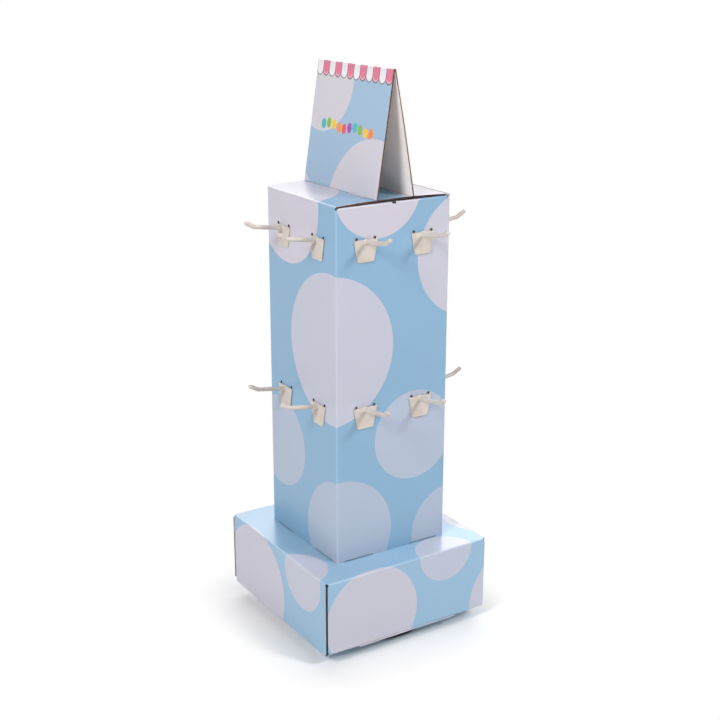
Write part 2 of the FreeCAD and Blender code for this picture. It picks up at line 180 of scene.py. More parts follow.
def placed(piece, node, body):
    """Put a piece in its solid's place, on its body, with the solid hidden."""
    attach(piece, body)
    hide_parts(node)


# Material helpers

class Finish:
    """A node material around one Principled shader."""

    def __init__(self, name, **sockets):
        self.material = bpy.data.materials.new(name)
        self.material.use_nodes = True
        self.tree = self.material.node_tree
        self.shader = self.tree.nodes["Principled BSDF"]
        for socket, value in sockets.items():
            self.shader.inputs[socket.replace("_", " ")].default_value = value

    def fill(self, node, inputs):
        """Link or set each input of a node."""
        for place, value in inputs.items():
            if isinstance(value, bpy.types.NodeSocket):
                self.tree.links.new(value, node.inputs[place])
            else:
                node.inputs[place].default_value = value

    def add(self, kind, inputs=(), **settings):
        made = self.tree.nodes.new("ShaderNode" + kind)
        for setting, value in settings.items():
            setattr(made, setting, value)
        self.fill(made, dict(inputs))
        return made

    def math(self, operation, first, second=0.0, third=0.0):
        inputs = {0: first, 1: second}
        if operation == "MULTIPLY_ADD":
            inputs[2] = third
        return self.add("Math", inputs, operation=operation).outputs[0]

    def weighted(self, *parts, base=0.0):
        """A sum of values, each times its weight."""
        total = base
        for value, weight in parts:
            total = self.math("MULTIPLY_ADD", value, weight, total)
        return total

    def distance_from(self, value, place):
        return self.math("ABSOLUTE", self.math("SUBTRACT", value, place))

    def spread(self, value, low, high, to_low=0.0, to_high=1.0):
        """A value ramped softly between two limits."""
        inputs = {"Value": value, "From Min": low, "From Max": high, "To Min": to_low, "To Max": to_high}
        return self.add("MapRange", inputs, interpolation_type="SMOOTHSTEP").outputs["Result"]

    def within(self, value, full, gone, strength=1.0):
        """A strength that is full up to one limit and fades to nothing at the next."""
        return self.spread(value, full, gone, strength, 0.0)

    def varied(self, noise, low=0.0, high=1.0):
        """A noise's usual reach, ramped to a new one."""
        return self.spread(noise, 0.3, 0.7, low, high)

    def mixed(self, amount, first, second, blend="MIX"):
        made = self.add("Mix", data_type="RGBA", blend_type=blend)
        self.fill(made, {0: amount, 6: first, 7: second})
        return made.outputs[2]

    def noise(self, scale, detail, vector=None):
        inputs = {"Scale": scale, "Detail": detail, "Vector": vector or self.place()}
        return self.add("TexNoise", inputs).outputs["Fac"]

    def vector(self, operation, first, second):
        return self.add("VectorMath", {0: first, 1: second}, operation=operation).outputs[0]

    def length(self, vector):
        return self.add("VectorMath", {0: vector}, operation="LENGTH").outputs["Value"]

    def place(self):
        return self.add("TexCoord").outputs["Object"]

    def map(self, name):
        """Place on one of the piece's own maps."""
        return self.add("UVMap", uv_map=name).outputs["UV"]

    def split(self, vector):
        parts = self.add("SeparateXYZ", {0: vector}).outputs
        return parts[0], parts[1]

    def colour(self, value):
        self.tree.links.new(value, self.shader.inputs["Base Color"])

    def roughness(self, value):
        self.tree.links.new(value, self.shader.inputs["Roughness"])

    def bump(self, height, distance, strength):
        made = self.add("Bump", {"Height": height, "Distance": distance, "Strength": strength})
        self.tree.links.new(made.outputs["Normal"], self.shader.inputs["Normal"])


def srgb(red, green, blue):
    """A colour as it looks on screen, 0 to 255, as the shader needs it."""
    linear = []
    for value in (red, green, blue):
        share = value / 255
        linear.append(share / 12.92 if share <= 0.04045 else ((share + 0.055) / 1.055) ** 2.4)
    return (*linear, 1.0)


# Inks

COLUMN_BLUE = srgb(138, 176, 205)
# The column's blue painted lighter for the box: painted light, standing in for the brighter bounce from
# the floor
BOX_BLUE_PAINTED_LIGHTER = srgb(152, 187, 214)
HEADER_BLUE = srgb(160, 188, 213)
LILAC = srgb(204, 199, 211)
HEADER_LILAC = srgb(209, 205, 214)
# Pale ink for the folds: partly cracked ink, partly painted highlight
PALE_INK_AND_HIGHLIGHT = srgb(205, 219, 232)
ROSE = srgb(228, 116, 146)
AWNING_WHITE = srgb(240, 236, 238)
AWNING_LINE = srgb(92, 72, 92)
AWNING_SHADE = srgb(150, 120, 140)
BEAD_COLOURS = (
    srgb(64, 176, 178),
    srgb(130, 182, 64),
    srgb(246, 196, 40),
    srgb(248, 146, 26),
    srgb(238, 84, 84),
    srgb(160, 78, 170),
    srgb(72, 184, 192),
    srgb(136, 186, 70),
    srgb(248, 200, 60),
    srgb(248, 136, 20),
)

# Papers, from fresh cuts to dimmer ones, with painted shade for the flute hollows and the box's open
# edges
KRAFT = srgb(150, 118, 92)
KRAFT_LOW = srgb(122, 94, 76)
KRAFT_HOLLOW_SHADE = srgb(64, 47, 38)
DIM_KRAFT = srgb(116, 94, 82)
DIM_KRAFT_LOW = srgb(94, 74, 66)
KRAFT_DEEP_SHADE = srgb(34, 28, 30)
HOLLOW_SHADE = srgb(18, 16, 18)
LINER = srgb(238, 232, 231)
LINER_LOW = srgb(232, 225, 223)
LINER_CLOUD = srgb(196, 188, 182)

# Plastics, zinc and the floor, each with a second shade for its faint clouding
CREAM = srgb(210, 200, 191)
CREAM_LOW = srgb(203, 192, 182)
FOOT_BLACK = srgb(20, 20, 22)
FOOT_BLACK_LOW = srgb(15, 15, 17)
GLIDE_WHITE = srgb(226, 226, 222)
GLIDE_WHITE_LOW = srgb(218, 218, 212)
RIVET_BLACK = srgb(30, 30, 31)
RIVET_BLACK_LOW = srgb(24, 24, 25)
ZINC = srgb(206, 208, 210)
ZINC_LOW = srgb(166, 170, 176)
FLOOR_PALE = srgb(248, 248, 248)
FLOOR_PALE_LOW = srgb(246, 246, 247)

PRINT_IOR = 1.45
PAPER_IOR = 1.4
FLUTE = 3.3 * MM
DOT_SOFTNESS = 0.35 * MM


# Print on the board

def board_surface(finish, sheet):
    """Faint flutes and paper grain under the print."""
    across = finish.split(sheet)[0]
    wave = finish.math("SINE", finish.math("MULTIPLY", across, 2 * math.pi / FLUTE))
    grain = finish.noise(scale=900.0, detail=4.0)
    drift = finish.noise(scale=18.0, detail=2.0)
    height = finish.weighted((grain, 0.03), (wave, 0.35), (drift, 0.4))
    finish.bump(height, distance=0.06 * MM, strength=0.35)
    return wave, grain, drift


def dotted(finish, sheet, dots, ground, spot):
    """Pale round dots on a plain ground; a dot is its centre, its radius and its strength."""
    mask = 0.0
    for across, up, radius, strength in dots:
        centre = (across * MM, up * MM, 0)
        distance = finish.length(finish.vector("SUBTRACT", sheet, centre))
        edge = radius * MM
        inside = finish.within(distance, edge - DOT_SOFTNESS, edge + DOT_SOFTNESS, strength)
        mask = finish.math("MAXIMUM", mask, inside)
    return finish.mixed(mask, ground, spot)


def varnished(finish, ink, fold_distance, surface):
    """Ink that thins at the folds, paler there partly as cracked ink and partly as a painted highlight on
    the fold's rounding, under a satin varnish.
    """
    wave, grain, drift = surface
    fold_pale_most = 0.3 * MM
    fold_pale_reach = 3.2 * MM
    # Paler ink near the folds: partly cracked ink, partly a painted highlight where the rounded fold
    # catches the light
    cracked_ink_and_highlight = finish.within(fold_distance, fold_pale_most, fold_pale_reach, strength=0.20)
    patches = finish.varied(finish.noise(scale=220.0, detail=4.0), 0.55, 1.0)
    ink = finish.mixed(finish.math("MULTIPLY", cracked_ink_and_highlight, patches), ink, PALE_INK_AND_HIGHLIGHT)
    shade = finish.weighted((wave, 0.006), (grain, 0.008), (drift, 0.012), base=0.985)
    tone = finish.add("CombineColor", {0: shade, 1: shade, 2: shade}).outputs[0]
    finish.colour(finish.mixed(1.0, ink, tone, "MULTIPLY"))
    finish.roughness(finish.varied(grain, 0.26, 0.27))


# The column's sheet runs from its front right corner, right and back walls to the right of it,
# front and left walls to the left of it, and the lid above the front wall
COLUMN_DOTS = (
    (-125.5, 612.9, 82.6, 1.0),
    (64.7, 646.9, 68.0, 1.0),
    (217.0, 543.1, 88.6, 0.9),
    (-14.4, 432.0, 104.3, 0.82),
    (-151.5, 261.7, 66.8, 0.5),
    (125.9, 293.6, 64.8, 0.55),
    (5.5, 163.9, 83.8, 0.5),
    (190.0, 140.0, 65.0, 0.5),
    (330.0, 400.0, 78.0, 0.75),
    (300.0, 610.0, 60.0, 0.95),
    (290.0, 222.0, 60.0, 0.55),
    (-270.0, 470.0, 80.0, 0.8),
    (-345.0, 330.0, 58.0, 0.65),
    (-255.0, 150.0, 76.0, 0.5),
    (-330.0, 610.0, 62.0, 0.95),
    (-20.0, 826.0, 90.0, 1.0),
)

# The box's sheet has the top in its middle and a wall beyond each of its sides
BOX_DOTS = (
    (-63.3, -211.9, 82.3, 0.92),
    (71.1, -149.7, 48.7, 0.8),
    (204.0, -60.7, 75.1, 0.88),
    (136.0, 64.0, 45.1, 0.7),
    (239.0, 191.3, 83.5, 0.8),
    (-118.0, 30.0, 52.0, 0.8),
    (-215.0, -70.0, 60.0, 0.8),
    (-230.0, 110.0, 66.0, 0.7),
    (60.0, 190.0, 70.0, 0.85),
    (-75.0, 235.0, 58.0, 0.75),
)

# The header's sheet runs up the front panel, over the ridge and down the back panel
HEADER_DOTS = (
    (-66.4, 145.4, 70.3, 1.0),
    (75.6, -23.7, 103.5, 1.0),
    (-101.0, -10.0, 26.0, 1.0),
    (-8.0, 262.0, 50.0, 1.0),
    (78.0, 345.0, 66.0, 1.0),
)
RIDGE_PLACE = 170.3 * MM


def column_print():
    finish = Finish("column_print", IOR=PRINT_IOR)
    sheet = finish.map("sheet")
    surface = board_surface(finish, sheet)
    ink = dotted(finish, sheet, COLUMN_DOTS, COLUMN_BLUE, LILAC)
    across, up = finish.split(sheet)
    round_the_column = finish.math("ADD", across, 4 * COLUMN_HALF)
    from_corner = finish.math("PINGPONG", round_the_column, COLUMN_HALF)
    from_lid_fold = finish.distance_from(up, COLUMN_TOP)
    varnished(finish, ink, finish.math("MINIMUM", from_corner, from_lid_fold), surface)
    return finish.material


def box_print():
    finish = Finish("box_print", IOR=PRINT_IOR)
    sheet = finish.map("sheet")
    surface = board_surface(finish, sheet)
    ink = dotted(finish, sheet, BOX_DOTS, BOX_BLUE_PAINTED_LIGHTER, LILAC)
    wall_end = BOX_HALF + BOX_TOP - BOX_LOW
    fold = 1.0
    for place in finish.split(sheet):
        for crease in (BOX_HALF, wall_end):
            gap = finish.distance_from(finish.math("ABSOLUTE", place), crease)
            fold = finish.math("MINIMUM", fold, gap)
    varnished(finish, ink, fold, surface)
    return finish.material


def beads(finish, sheet, ink):
    """A wavy row of coloured beads on the header's front panel."""
    first_bead = -58.5
    bead_pitch = 13.0
    row_height = 86
    row_swing = 2.4
    row_waves = 1.3
    bead_radius = 5.2 * MM
    bead_softness = 0.5 * MM
    taller_than_wide = (1.0, 0.8, 0.0)
    for number, colour in enumerate(BEAD_COLOURS):
        centre_x = (first_bead + bead_pitch * number) * MM
        centre_y = (row_height + row_swing * math.sin(number * row_waves)) * MM
        offset = finish.vector("SUBTRACT", sheet, (centre_x, centre_y, 0))
        size = finish.length(finish.vector("MULTIPLY", offset, taller_than_wide))
        bead = finish.within(size, bead_radius, bead_radius + bead_softness)
        ink = finish.mixed(bead, ink, colour)
    return ink


def awning(finish, across, drop, ink):
    """Twelve stripes with round lower ends under the ridge, on both panels."""
    stripe_count = 12
    stripe = 2 * HEADER_HALF / stripe_count
    radius = stripe / 2
    straight = 13.0 * MM
    shade_start = 3 * MM
    shade_end = 16 * MM
    shine_inset = 2.2 * MM
    shine_core = 0.3 * MM
    shine_edge = 0.9 * MM
    shine_start = 0.5 * MM
    shine_full = 3 * MM
    line_core = 0.1 * MM
    line_edge = 1.4 * MM
    stripe_core = 0.9 * MM
    stripe_edge = 0.4 * MM
    from_middle = finish.math("PINGPONG", finish.math("ADD", across, HEADER_HALF - radius), radius)
    below = finish.math("MAXIMUM", finish.math("SUBTRACT", drop, straight), 0.0)
    squares = finish.math("MULTIPLY_ADD", from_middle, from_middle, finish.math("MULTIPLY", below, below))
    reach = finish.math("POWER", squares, 0.5)

    count = finish.math("FLOOR", finish.math("DIVIDE", finish.math("ADD", across, HEADER_HALF), stripe))
    stripes = finish.mixed(finish.math("MODULO", count, 2.0), AWNING_WHITE, ROSE)
    near_ridge = finish.within(drop, shade_start, shade_end, strength=0.10)
    stripes = finish.mixed(near_ridge, stripes, AWNING_SHADE)
    shine_line = finish.distance_from(reach, radius - shine_inset)
    shine = finish.within(shine_line, shine_core, shine_edge, strength=0.55)
    shine = finish.math("MULTIPLY", shine, finish.spread(below, shine_start, shine_full))
    stripes = finish.mixed(shine, stripes, AWNING_WHITE)

    outlined = finish.within(reach, radius + line_core, radius + line_edge, strength=0.85)
    ink = finish.mixed(outlined, ink, AWNING_LINE)
    inside = finish.within(reach, radius - stripe_core, radius - stripe_edge)
    return finish.mixed(inside, ink, stripes)


def header_print():
    """Dots, an awning under the ridge and a row of coloured beads."""
    finish = Finish("header_print", IOR=PRINT_IOR)
    sheet = finish.map("sheet")
    surface = board_surface(finish, sheet)
    ink = dotted(finish, sheet, HEADER_DOTS, HEADER_BLUE, HEADER_LILAC)
    ink = beads(finish, sheet, ink)
    across, up = finish.split(sheet)
    drop = finish.distance_from(up, RIDGE_PLACE)
    ink = awning(finish, across, drop, ink)
    varnished(finish, ink, drop, surface)
    return finish.material


# Cut edges and plain paper

def raw_edge(name, paper_low, paper_high, hollow_shade):
    """Cut board: two liners with the flutes between them, and painted shade in the hollows between them.
    """
    finish = Finish(name, IOR=PAPER_IOR)
    along, across = finish.split(finish.map("edge"))
    wave = finish.math("SINE", finish.math("MULTIPLY", along, 2 * math.pi))
    flute_line = finish.math("MULTIPLY_ADD", wave, 0.34, 0.5)
    medium = finish.within(finish.distance_from(across, flute_line), 0.07, 0.13)
    from_face = finish.math("MINIMUM", across, finish.math("SUBTRACT", 1.0, across))
    liner = finish.within(from_face, 0.10, 0.17)
    solid = finish.math("MAXIMUM", medium, liner)
    fibre = finish.noise(scale=1400.0, detail=5.0)
    paper = finish.mixed(fibre, paper_low, paper_high)
    # Where there is no liner or fluting, the hollow colour is painted shade
    finish.colour(finish.mixed(solid, hollow_shade, paper))
    finish.roughness(finish.varied(fibre, 0.8, 0.95))
    finish.bump(finish.math("MULTIPLY_ADD", fibre, 0.3, solid), distance=0.3 * MM, strength=0.6)
    return finish.material


def plain_liner():
    """Uncoated white paper on the board's inner side."""
    finish = Finish("board_inner_liner", IOR=PAPER_IOR)
    fibre = finish.noise(scale=700.0, detail=6.0)
    cloud = finish.noise(scale=30.0, detail=3.0)
    paper = finish.mixed(finish.varied(fibre), LINER_LOW, LINER)
    stain = finish.spread(cloud, 0.35, 0.7, 0.0, 0.12)
    finish.colour(finish.mixed(stain, paper, LINER_CLOUD))
    finish.roughness(finish.varied(fibre, 0.78, 0.9))
    finish.bump(fibre, distance=0.08 * MM, strength=0.5)
    return finish.material


# Plastics and metal

def moulded(name, colour, second, roughness, grain_scale, grain_depth, ior):
    """Moulded plastic: faint clouding and a fine spark-eroded grain."""
    finish = Finish(name, IOR=ior)
    cloud = finish.noise(scale=45.0, detail=3.0)
    grain = finish.noise(scale=grain_scale, detail=3.0)
    finish.colour(finish.mixed(finish.spread(cloud, 0.35, 0.65), colour, second))
    finish.roughness(finish.varied(grain, *roughness))
    finish.bump(grain, distance=grain_depth, strength=0.6)
    return finish.material


def zinc_pin():
    """Zinc plate with fine lines round the pin."""
    finish = Finish("zinc_pin", Metallic=1.0)
    stretched = finish.add("Mapping", {"Vector": finish.place(), "Scale": (40.0, 40.0, 900.0)}).outputs[0]
    lines = finish.noise(scale=6.0, detail=4.0, vector=stretched)
    finish.colour(finish.mixed(lines, ZINC_LOW, ZINC))
    finish.roughness(finish.varied(lines, 0.28, 0.46))
    finish.bump(lines, distance=0.04 * MM, strength=0.4)
    return finish.material


# Board pieces: which faces are printed, and where they lie on the flat sheet

PRINT, INNER, EDGE = 0, 1, 2
OUTER_SKIN = 0.75 * MM
LAYER_CUT = 132.6 * MM
TUCK_FROM = 84 * MM
CLOSE = 0.1 * MM


def facing_out(centre, normal):
    """1 for a face that looks away from the stand's axis, -1 for one that looks at it."""
    return normal.dot(Vector((centre.x, centre.y, 0)).normalized())


def column_kind(centre, normal):
    """Print, inner side or raw edge, for a face of the column."""
    side_x = abs(centre.x)
    side_y = abs(centre.y)
    dust_fold_low = 622 * MM
    dust_fold_high = 625 * MM
    dust_flap_top = 625.5 * MM
    flap_underside = 610 * MM
    corner_x = 87.6 * MM
    corner_y = 87.4 * MM
    if centre.z > dust_fold_low:
        on_corner = side_x > corner_x and side_y > corner_y
        if normal.z > 0.5 and centre.z < dust_flap_top and not on_corner:
            return PRINT
        turns_out = abs(normal.x) > 0.3 and normal.x * centre.x > 0
        if turns_out and centre.z < dust_fold_high and normal.z > 0.05:
            return PRINT
    if normal.z < -0.8 and centre.z > flap_underside:
        return INNER
    facing = facing_out(centre, normal)
    if BOX_LOW < centre.z < COLUMN_TOP and abs(normal.z) < 0.3:
        if facing > 0.6 and COLUMN_HALF - max(side_x, side_y) < OUTER_SKIN:
            return PRINT
        if facing < -0.6:
            return INNER
    return EDGE


def column_sheet(point, normal):
    """Distance round the column from its front right corner, and height up the sheet."""
    up = point.z
    if normal.z > 0.5 and point.z < COLUMN_TOP - BOARD / 2:
        up = COLUMN_TOP + COLUMN_HALF - abs(point.x)
    on_left = normal.x < -0.05 and normal.y < 0.05
    if on_left or normal.x < 0 and normal.y < -0.05:
        return point.x - point.y - 2 * COLUMN_HALF, up
    if normal.y > 0.05 and normal.x < 0.05:
        return 4 * COLUMN_HALF - point.x - point.y, up
    if normal.y > 0.05:
        return point.y - point.x + 2 * COLUMN_HALF, up
    return point.x + point.y, up


def lid_kind(centre, normal):
    """Print, inner side or raw edge, for a face of the lid and its tuck flap."""
    on_tuck = centre.y > TUCK_FROM
    front_fold = -87.9 * MM
    tuck_end = 601 * MM
    tuck_inside = 80 * MM
    if abs(normal.x) > 0.9:
        return PRINT if on_tuck else EDGE
    if centre.y < front_fold:
        return PRINT if normal.y < 0.1 and normal.z > -0.3 else EDGE
    if normal.z > 0.5:
        return PRINT
    if on_tuck and normal.y > 0.1 and normal.z > -0.5:
        return PRINT
    if centre.z < tuck_end and normal.z < -0.7:
        return EDGE
    if normal.z < -0.5 or normal.y < -0.8 and centre.y > tuck_inside:
        return INNER
    return EDGE


def lid_sheet(point, normal):
    """The lid goes on up the sheet from the front wall, and the tuck flap beyond it."""
    back_fold = 85 * MM
    up = min(point.z, COLUMN_TOP) + point.y + COLUMN_HALF
    if point.y > back_fold:
        up = COLUMN_TOP + point.y + COLUMN_HALF + (COLUMN_TOP - point.z)
    return point.x - COLUMN_HALF, up


def box_kind(centre, normal):
    """Print, inner side or raw edge, for a face of the box. The flap's side faces in the corners' slits
    take the near-black edge as painted shade of the gap, and so do the top's faces at the slit's end, for
    the dark hole there.
    """
    side_x = abs(centre.x)
    side_y = abs(centre.y)
    farther = max(side_x, side_y)
    facing = facing_out(centre, normal)
    floor_top = 18.95 * MM
    floor_rim = 133.7 * MM
    lips_below = 30 * MM
    roll_below = 21.5 * MM
    roll_outside = 132.6 * MM
    top_fold = 124.5 * MM
    corner_from = 129.5 * MM
    layer_inside = 132.1 * MM
    layer_outside = 133 * MM
    slit_end_x = 132.4 * MM
    slit_end_y = 132.5 * MM
    if centre.z < floor_top:
        if normal.z < -0.5 or facing > 0.2 and farther > floor_rim:
            return PRINT
        return INNER if normal.z > 0.5 else EDGE
    if normal.z > 0.1 and centre.z > top_fold:
        at_slit_end = side_x > slit_end_x and side_y > slit_end_y
        return EDGE if at_slit_end else PRINT
    if normal.z > 0.5 and centre.z < lips_below:
        return INNER
    if side_x > layer_inside and abs(side_y - LAYER_CUT) < CLOSE and abs(normal.y) > 0.8:
        return EDGE
    if facing > 0.3 and side_x > corner_from and side_y > corner_from:
        # The flap's side faces in the slit take the dark edge: painted shade of the gap
        slit_shade = side_x < layer_outside and abs(normal.x) > 0.92
        return EDGE if slit_shade else PRINT
    if side_x > roll_outside and centre.z < roll_below and facing > 0.05:
        return PRINT
    if abs(normal.z) < 0.5 and facing > 0.3 and BOX_HALF - farther < OUTER_SKIN:
        return PRINT
    if abs(normal.z) < 0.5 and facing < -0.3:
        return INNER
    return EDGE


def box_sheet(point, normal):
    """The top in the middle, a wall folded out to each side of it, the floor beyond the front wall."""
    drop = BOX_TOP - point.z
    wall_from = 132 * MM
    if normal.z < -0.5 and point.z < BOX_LOW + BOARD:
        return point.x, -(BOX_HALF + drop) - (point.y + BOX_HALF)
    if abs(normal.y) > abs(normal.x) and abs(point.y) > wall_from:
        return point.x, point.y + math.copysign(drop, point.y)
    if abs(normal.x) > 0.01:
        return point.x + math.copysign(drop, point.x), point.y
    return point.x, point.y


def header_kind(centre, normal):
    """Print, inner side or raw edge, for a face of the header card."""
    if abs(normal.x) > 0.9 or normal.z < -0.95:
        return EDGE
    ridge_from = 792.6 * MM
    on_ridge = centre.z > ridge_from
    looks_out = normal.y * (centre.y - HEADER_MIDDLE) > 0
    return PRINT if on_ridge or looks_out else INNER


def header_sheet(point, normal):
    """Across the card, and up the front panel or on over the ridge and down the back one."""
    lean_cosine = 0.9887
    from_ridge = (RIDGE_TOP - point.z) / lean_cosine
    if point.y < HEADER_MIDDLE:
        return point.x, RIDGE_PLACE - from_ridge
    return point.x, RIDGE_PLACE + from_ridge


def loosened(node, point):
    """How far a point has come loose from its place in the solid."""
    layer_shift = -2.2 * MM
    layer_inside = -132.9 * MM
    layer_top = 124 * MM
    slot_widening = -1.1 * MM
    slot_ends = (23.6, 64.4)
    slot_front = -31.2 * MM
    slot_back = -29.6 * MM
    board_lift = 0.7 * MM
    foot_and_prong_slots = (127.9, 351.9, 582.4)
    if node == "base_box":
        on_left_layer = point.x < layer_inside and abs(point.y + LAYER_CUT) < CLOSE
        if on_left_layer and point.z < layer_top:
            return Vector((0, layer_shift, 0))
    if node == "column_lid":
        from_slot_end = min(abs(abs(point.x) - end * MM) for end in slot_ends)
        if from_slot_end < CLOSE and slot_front < point.y < slot_back:
            return Vector((0, slot_widening, 0))
    if node == "column":
        from_level = min(abs(point.z - level * MM) for level in foot_and_prong_slots)
        if from_level < CLOSE:
            return Vector((0, 0, board_lift))
    return Vector((0, 0, 0))


def map_sheet(mesh, sheet):
    """Each corner's place on the flat sheet, as the mesh's first map."""
    while mesh.uv_layers:
        mesh.uv_layers.remove(mesh.uv_layers[0])
    places = mesh.uv_layers.new(name="sheet")
    for face in mesh.polygons:
        for corner in face.loop_indices:
            point = mesh.vertices[mesh.loops[corner].vertex_index].co
            places.data[corner].uv = sheet(point, face.normal)


def map_edges(mesh):
    """Distance along a cut edge in flutes, and 0 to 1 across it up to the printed side."""
    no_wave = 0.25
    printed = set()
    for face in mesh.polygons:
        if face.material_index == PRINT:
            printed.update(face.vertices)
    places = mesh.uv_layers.new(name="edge")
    for face in mesh.polygons:
        runs_along_x = abs(face.center.y) > abs(face.center.x)
        shows_wave = abs(face.normal.z) > 0.7
        for corner in face.loop_indices:
            vertex = mesh.loops[corner].vertex_index
            point = mesh.vertices[vertex].co
            along = (point.x if runs_along_x else point.y) / FLUTE if shows_wave else no_wave
            places.data[corner].uv = (along, 1.0 if vertex in printed else 0.0)
    mesh.uv_layers["sheet"].active_render = True


def cut_at_tuck(piece):
    """An edge across the lid where its tuck flap starts, so that the flap's print can end there."""
    pick(piece)
    bpy.ops.object.mode_set(mode="EDIT")
    bpy.ops.mesh.select_all(action="SELECT")
    bpy.ops.mesh.bisect(plane_co=(0, TUCK_FROM, 0), plane_no=(0, 1, 0))
    bpy.ops.object.mode_set(mode="OBJECT")


def dress_board(name, node, body, printed, edge, kind, sheet):
    """A board piece as a copy of its solid, with printed, inner and cut faces."""
    piece = copied_node(node, name)
    mesh = piece.data
    if node == "column_lid":
        cut_at_tuck(piece)
    for material in (printed, inner_liner, edge):
        mesh.materials.append(material)
    for face in mesh.polygons:
        face.material_index = kind(face.center, face.normal)
    for vertex in mesh.vertices:
        vertex.co += loosened(node, vertex.co)
    map_sheet(mesh, sheet)
    map_edges(mesh)
    smooth(piece, 32)
    placed(piece, node, body)


inner_liner = plain_liner()
clean_cut = raw_edge("board_raw_edge", KRAFT_LOW, KRAFT, KRAFT_HOLLOW_SHADE)
# A dimmer cut edge for the column and the lid
dim_cut = raw_edge("board_dim_edge", DIM_KRAFT_LOW, DIM_KRAFT, KRAFT_DEEP_SHADE)
# Near-black cut edges for the box: painted shade of the open flute channels and of the gaps at the corner
# slits
shaded_open_cut = raw_edge("board_open_edge_shade", KRAFT_DEEP_SHADE, DIM_KRAFT_LOW, HOLLOW_SHADE)
print_on_column = column_print()

dress_board("column_board", "column", "stand",
            printed=print_on_column, edge=dim_cut, kind=column_kind, sheet=column_sheet)
dress_board("lid_board", "column_lid", "lid",
            printed=print_on_column, edge=dim_cut, kind=lid_kind, sheet=lid_sheet)
dress_board("box_board", "base_box", "stand",
            printed=box_print(), edge=shaded_open_cut, kind=box_kind, sheet=box_sheet)
dress_board("header_board_card", "header_card", "lid",
            printed=header_print(), edge=clean_cut, kind=header_kind, sheet=header_sheet)


def lid_fold_skin():
    """The sheet's outer paper, which runs over the fold from the front wall to the lid."""
    half_width = 87.6 * MM
    height_on_wall = 2.8 * MM
    paper_thickness = 0.16 * MM
    middle_on_wall = 623.6 * MM
    fold_from = 625 * MM
    hinge_y = -88 * MM
    start = Vector((0, -COLUMN_HALF, middle_on_wall))
    hinge_line = (0, hinge_y, fold_from)
    reach_on_lid = (0, 2 * MM, 0.12 * MM)
    skin = added("lid_fold_paper", bpy.ops.mesh.primitive_plane_add, size=1,
                 location=start, rotation=(math.pi / 2, 0, 0))
    bpy.ops.transform.resize(value=(2 * half_width, 1, height_on_wall), center_override=start)
    choose(skin, "edges", lambda e: all(v.co.z > fold_from - CLOSE for v in e.verts))
    bpy.ops.mesh.spin(steps=8, angle=math.pi / 2, center=hinge_line, axis=(-1, 0, 0))
    extrude(reach_on_lid)
    weld()
    finished(skin)
    skin.data.materials.append(print_on_column)
    thick = skin.modifiers.new("paper", "SOLIDIFY")
    thick.thickness = paper_thickness
    thick.offset = 0
    apply_modifiers(skin)
    map_sheet(skin.data, lid_sheet)
    smooth(skin, 40)
    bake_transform(skin)


lid_fold_skin()


# Hooks: the plate on the wall, the arm with its upturned tip, and two prongs behind the wall

PLATE_WIDTH = 37 * MM
PLATE_FOOT_WIDTH = 25 * MM
PLATE_HEIGHT = 30 * MM
PLATE_THICK = 2 * MM
PLATE_LOW_CORNER = 2.5 * MM
PLATE_TOP_CORNER = 1.2 * MM
PLATE_FRONT_RIM = 0.55 * MM
PLATE_REAR_RIM = 1.2 * MM
ARM_LEVEL = -3.8 * MM
ARM_RUN = 46.0 * MM
ARM_RISE = 6.5 * MM
ARM_RADIUS = 3 * MM
ROOT_RADIUS = 4.6 * MM
ROOT_START = 1 * MM
ROOT_FILLET = ((1.0, 4.6), (0.35, 3.9), (0.55, 3.4), (0.9, 3.1), (1.2, 3.0))
BEND_RADIUS = 12 * MM
BEND_TURN = 21
TIP_LENGTH = 15.5 * MM
DOME_TURNS = (15, 30, 45, 60, 73, 83)
PRONG_PLACE = 14.3 * MM
PRONG_WIDTH = 4 * MM
PRONG_HEIGHT = 3.2 * MM
PRONG_DEPTH = 3.3 * MM
PRONG_HOOK_DEPTH = 1.8 * MM
PRONG_HOOK_HEIGHT = 8.8 * MM
PRONG_ROUNDING = 0.35 * MM


def hook_plate():
    """A plate that narrows downwards, with round lower corners."""
    middle_y = -COLUMN_HALF - PLATE_THICK / 2
    middle_z = -PLATE_HEIGHT / 2
    foot = (0, middle_y, -PLATE_HEIGHT)
    face_depth = 0.9 * MM
    plate = added("hook_plate", bpy.ops.mesh.primitive_cube_add, size=1,
                  location=(0, middle_y, middle_z), scale=(PLATE_WIDTH, PLATE_THICK, PLATE_HEIGHT))
    choose(plate, "verts", lambda v: v.co.z < middle_z)
    bpy.ops.transform.resize(value=(PLATE_FOOT_WIDTH / PLATE_WIDTH, 1, 1), center_override=foot)

    def runs_back(edge):
        return abs(edge.verts[0].co.y - edge.verts[1].co.y) > PLATE_THICK / 2

    choose(plate, "edges", lambda e: runs_back(e) and middle(e).z < middle_z)
    bpy.ops.mesh.bevel(offset=PLATE_LOW_CORNER, segments=5)
    choose(plate, "edges", lambda e: runs_back(e) and middle(e).z > middle_z)
    bpy.ops.mesh.bevel(offset=PLATE_TOP_CORNER, segments=3)
    choose(plate, "edges", lambda e: all(v.co.y < middle_y - face_depth for v in e.verts))
    bpy.ops.mesh.bevel(offset=PLATE_FRONT_RIM, segments=3)
    choose(plate, "edges", lambda e: all(v.co.y > middle_y + face_depth for v in e.verts))
    bpy.ops.mesh.bevel(offset=PLATE_REAR_RIM, segments=3)
    return finished(plate)


def drawn_out(centre, step):
    """Extrude the arm's open end by a step, and say where its centre is then."""
    extrude(step)
    return centre + step


